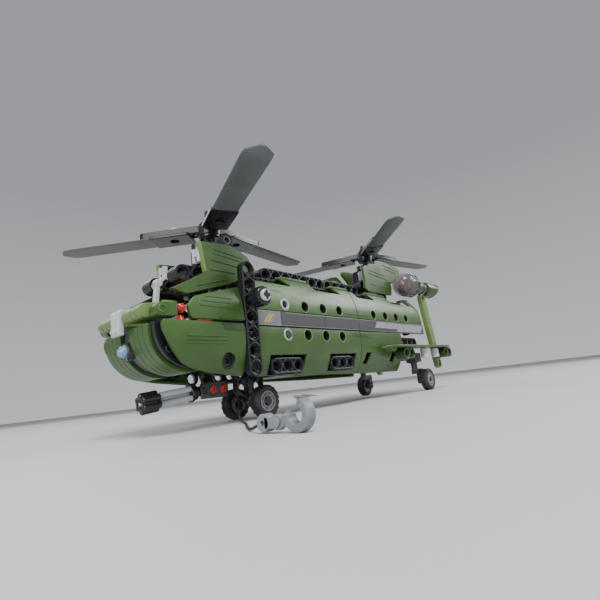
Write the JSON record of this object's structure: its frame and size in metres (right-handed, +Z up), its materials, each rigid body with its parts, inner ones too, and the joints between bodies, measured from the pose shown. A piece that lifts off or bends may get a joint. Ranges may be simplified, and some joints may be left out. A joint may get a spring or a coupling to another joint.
{
  "type": "helicopter scale model",
  "caption": "Tandem-rotor transport helicopter scale model built from pinned beams and curved panels, with geared rotors, winch hook, tilting rotary gun and rolling wheels.",
  "frame": {"origin": "centre of the display-stand bore, at its mouth in the belly", "axes": "+X to the nose along the hull, +Y to port, +Z up along the rotor masts"},
  "size_m": [0.2965, 0.1696, 0.1262],
  "materials": {
    "green_plastic": "satin moulded olive green",
    "light_green_plastic": "satin moulded light green",
    "black_plastic": "semi-gloss black",
    "dark_grey_plastic": "semi-gloss dark grey",
    "light_grey_plastic": "semi-gloss light grey",
    "clear_blue": "clear light blue",
    "clear_red": "clear red",
    "smoke_clear": "clear smoke",
    "red_plastic": "semi-gloss red",
    "string": "twisted black string",
    "tyre": "matte rubber"
  },
  "bodies": {
    "airframe": {"stand_beam": "black_plastic", "belly_plates": "green_plastic", "floor_beams": "black_plastic", "cross_beams": "black_plastic", "frame_beams": "black_plastic", "rear_frame_beams": "dark_grey_plastic", "lower_panels_front": "green_plastic", "lower_panels_rear": "green_plastic", "upper_panels_front": "green_plastic", "upper_panels_rear": "green_plastic", "stripe_tiles": "dark_grey_plastic", "sill_beams": "green_plastic", "roof_beams": "black_plastic", "roof_plates": "green_plastic", "cockpit_lower_panels": "green_plastic", "cockpit_upper_panels": "green_plastic", "chin_slices": "green_plastic", "brow_slices": "light_green_plastic", "nose_frames": "black_plastic", "nose_bars": "light_grey_plastic", "lamp_holder": "black_plastic", "lamp_lens": "clear_blue", "side_rails": "green_plastic", "marker_lamps": "clear_red", "windscreen_pillar": "light_grey_plastic", "pilot_seats": "red_plastic", "instrument_console": "dark_grey_plastic", "front_pylon_panels": "green_plastic", "front_gearbox": "black_plastic", "rear_pylon_panels": "green_plastic", "rear_gearbox": "black_plastic", "nacelles": "green_plastic", "intake_domes": "smoke_clear", "intake_cores": "red_plastic", "tail_posts": "light_green_plastic", "winglets": "green_plastic", "winglet_brackets": "dark_grey_plastic", "gear_strut": "black_plastic", "gun_block": "light_grey_plastic", "red_cross_pins": "red_plastic", "guide_ring": "black_plastic", "winch_string": "string", "hook_shackle": "light_grey_plastic", "cargo_hook": "light_grey_plastic"},
    "front_rotor": {"front_mast": "dark_grey_plastic", "front_hub": "black_plastic", "front_blades": "dark_grey_plastic"},
    "rear_rotor": {"rear_mast": "dark_grey_plastic", "rear_hub": "black_plastic", "rear_blades": "dark_grey_plastic"},
    "drive_line": {"drive_shaft": "dark_grey_plastic"},
    "hand_knob": {"drive_knob": "dark_grey_plastic"},
    "winch": {"winch_drum": "dark_grey_plastic"},
    "gun_tilt": {"gun_cradle": "black_plastic"},
    "gun_spin": {"gun_barrels": "light_grey_plastic"},
    "nose_wheels": {"front_wheels": "tyre"},
    "port_caster": {"caster_port": "light_grey_plastic"},
    "starboard_caster": {"caster_starboard": "light_grey_plastic"},
    "port_wheel": {"wheel_port": "tyre"},
    "starboard_wheel": {"wheel_starboard": "tyre"}
  },
  "joints": [
    {"name": "front_rotor_spin", "type": "hinge", "parent": "airframe", "child": "front_rotor", "pos_m": [0.072, 0, 0.08], "axis": [0, 0, 1], "continuous": true},
    {"name": "rear_rotor_spin", "type": "hinge", "parent": "airframe", "child": "rear_rotor", "pos_m": [-0.088, 0, 0.096], "axis": [0, 0, 1], "continuous": true},
    {"name": "drive_line_spin", "type": "hinge", "parent": "airframe", "child": "drive_line", "pos_m": [0, 0, 0.056], "axis": [1, 0, 0], "continuous": true},
    {"name": "hand_knob_spin", "type": "hinge", "parent": "airframe", "child": "hand_knob", "pos_m": [0.072, 0.036, 0.036], "axis": [0, 1, 0], "continuous": true},
    {"name": "winch_spin", "type": "hinge", "parent": "airframe", "child": "winch", "pos_m": [0.048, 0, 0.02], "axis": [0, 1, 0], "continuous": true},
    {"name": "gun_elevation", "type": "hinge", "parent": "airframe", "child": "gun_tilt", "pos_m": [0.084, 0, -0.0036], "axis": [0, 1, 0], "range_deg": [-8, 12]},
    {"name": "gun_barrel_spin", "type": "hinge", "parent": "gun_tilt", "child": "gun_spin", "pos_m": [0.084, 0, -0.0036], "axis": [0.9945, 0, -0.1045], "continuous": true},
    {"name": "nose_wheel_spin", "type": "hinge", "parent": "airframe", "child": "nose_wheels", "pos_m": [0.0536, 0, -0.012], "axis": [0, 1, 0], "continuous": true},
    {"name": "port_caster_swivel", "type": "hinge", "parent": "airframe", "child": "port_caster", "pos_m": [-0.096, 0.024, 0], "axis": [0, 0, 1], "range_deg": [-45, 45]},
    {"name": "starboard_caster_swivel", "type": "hinge", "parent": "airframe", "child": "starboard_caster", "pos_m": [-0.096, -0.024, 0], "axis": [0, 0, 1], "range_deg": [-45, 45]},
    {"name": "port_wheel_spin", "type": "hinge", "parent": "port_caster", "child": "port_wheel", "pos_m": [-0.104, 0.0294, -0.012], "axis": [0, 1, 0], "continuous": true},
    {"name": "starboard_wheel_spin", "type": "hinge", "parent": "starboard_caster", "child": "starboard_wheel", "pos_m": [-0.104, -0.0294, -0.012], "axis": [0, 1, 0], "continuous": true}
  ],
  "couplings": [
    {"joint": "rear_rotor_spin", "follows": "front_rotor_spin", "ratio": -1},
    {"joint": "drive_line_spin", "follows": "front_rotor_spin", "ratio": 1},
    {"joint": "hand_knob_spin", "follows": "front_rotor_spin", "ratio": -1}
  ]
}
